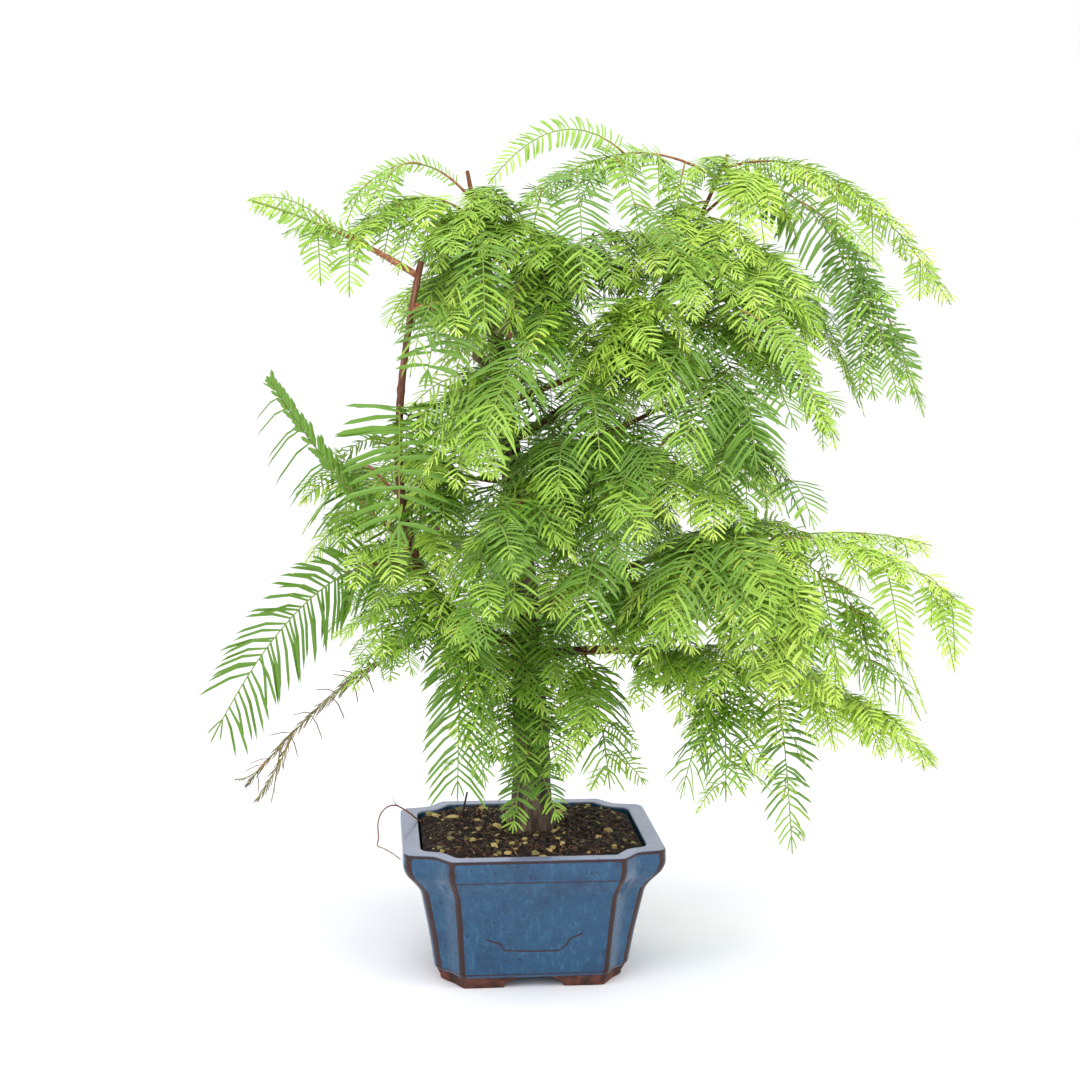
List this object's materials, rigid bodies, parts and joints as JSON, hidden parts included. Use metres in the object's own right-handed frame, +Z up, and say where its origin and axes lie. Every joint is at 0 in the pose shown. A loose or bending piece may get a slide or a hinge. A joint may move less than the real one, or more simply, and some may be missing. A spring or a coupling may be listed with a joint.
{
  "type": "bonsai dawn redwood in a glazed pot",
  "caption": "Bonsai dawn redwood with a leaning tapered trunk, weeping sprays of needles and a blue glazed rectangular pot on four clay feet.",
  "frame": {"origin": "on the floor that the pot's feet stand on, midway between the furthest tips of the crown left and right, front and back", "axes": "+Z up the trunk; +X to the right and -Y to the front of the pot as it is shown"},
  "size_m": [0.4362, 0.3152, 0.4957],
  "materials": {
    "blue_glaze": "glossy mottled blue glaze",
    "bark_soil": "loose dark bark and grit",
    "trunk_bark": "rough grey-brown bark",
    "bough_bark": "smooth reddish-brown bark",
    "needles": "soft matt green needles"
  },
  "bodies": {
    "root": {"bough_back_high": "bough_bark", "bough_back_left": "bough_bark", "bough_back_low": "bough_bark", "bough_back_right": "bough_bark", "bough_front": "bough_bark", "bough_front_low": "bough_bark", "bough_inner_right": "bough_bark", "bough_left_lower": "bough_bark", "bough_left_thin": "bough_bark", "bough_left_upper": "bough_bark", "bough_right_high": "bough_bark", "bough_right_low": "bough_bark", "bough_right_mid": "bough_bark", "bough_right_thin": "bough_bark", "foliage_back_crest": "needles", "foliage_back_high": "needles", "foliage_back_left": "needles", "foliage_back_left_low": "needles", "foliage_back_low": "needles", "foliage_back_right": "needles", "foliage_back_right_low": "needles", "foliage_centre_fan": "needles", "foliage_centre_front": "needles", "foliage_centre_high": "needles", "foliage_centre_left": "needles", "foliage_centre_rachis": "needles", "foliage_centre_top": "needles", "foliage_crest_arch": "needles", "foliage_far_right": "needles", "foliage_leader": "needles", "foliage_left_crest": "needles", "foliage_left_inner": "needles", "foliage_left_long": "needles", "foliage_left_low": "needles", "foliage_left_near": "needles", "foliage_left_upturned": "needles", "foliage_low_arm": "needles", "foliage_low_hang": "needles", "foliage_low_inner": "needles", "foliage_low_pair": "needles", "foliage_right_chain": "needles", "foliage_right_crest": "needles", "foliage_right_dark": "needles", "foliage_right_drop": "needles", "foliage_right_fan": "needles", "foliage_right_fern": "needles", "foliage_right_skirt": "needles", "foliage_right_upper": "needles", "foliage_second_arch": "needles", "foliage_top_left_arm": "needles", "foliage_trunk_foot": "needles", "foliage_trunk_left": "needles", "foliage_trunk_right": "needles", "foliage_umbrella": "needles", "foliage_upper_left": "needles", "foliage_upper_left_arch": "needles", "foliage_withered": "needles", "pot": "blue_glaze", "soil": "bark_soil", "trunk": "trunk_bark"}
  },
  "joints": []
}
